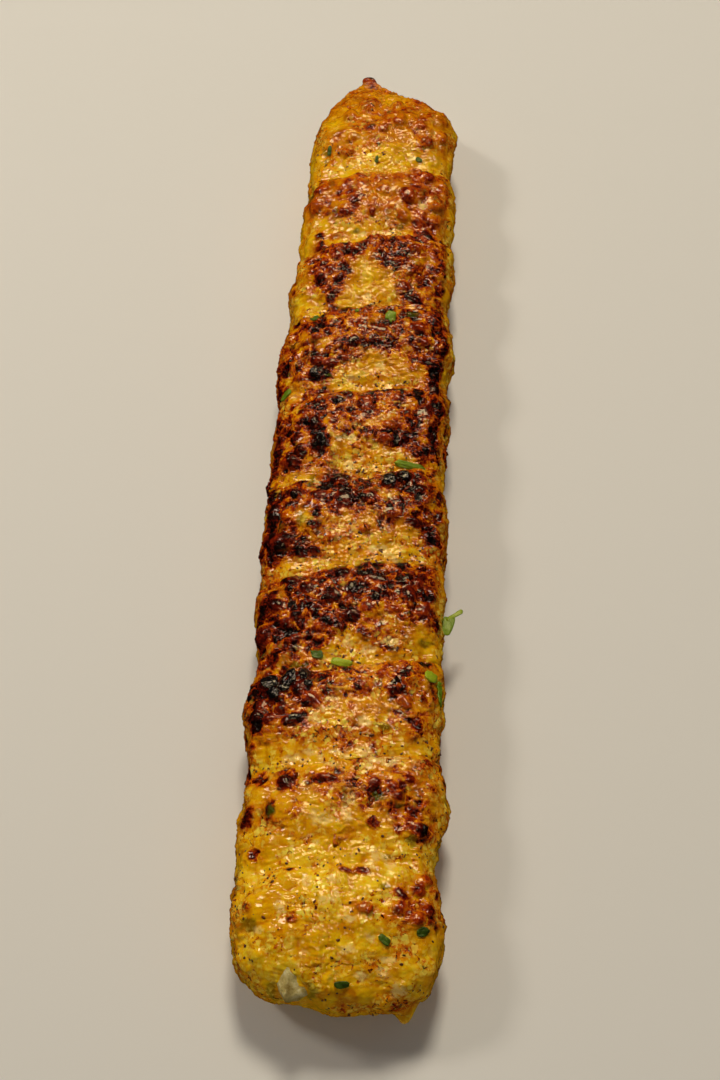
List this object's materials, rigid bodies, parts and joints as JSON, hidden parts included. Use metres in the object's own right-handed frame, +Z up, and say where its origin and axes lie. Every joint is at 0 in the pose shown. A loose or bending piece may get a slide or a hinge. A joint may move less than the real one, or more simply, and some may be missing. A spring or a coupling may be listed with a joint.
{
  "type": "kofta skewer",
  "caption": "Grilled chicken kofta slid off its flat skewer: a long flattened log of seasoned mince, squeezed into bands, blunt at one end and pinched at the other.",
  "frame": {"origin": "on the surface it lies on, under the middle of its outline", "axes": "+Y along the log towards the pinched end, +X to the right seen from the blunt end, +Z up"},
  "size_m": [0.0487, 0.2652, 0.0258],
  "materials": {
    "grilled_meat": "oily golden mince with a browned, blistered crust",
    "char": "blackened blisters, glossy where the oil sits",
    "onion": "soft, part see-through cooked onion",
    "herb": "chopped fresh leaf and stalk",
    "pepper": "coarse ground specks"
  },
  "bodies": {
    "root": {"kofta": "grilled_meat"}
  },
  "joints": []
}
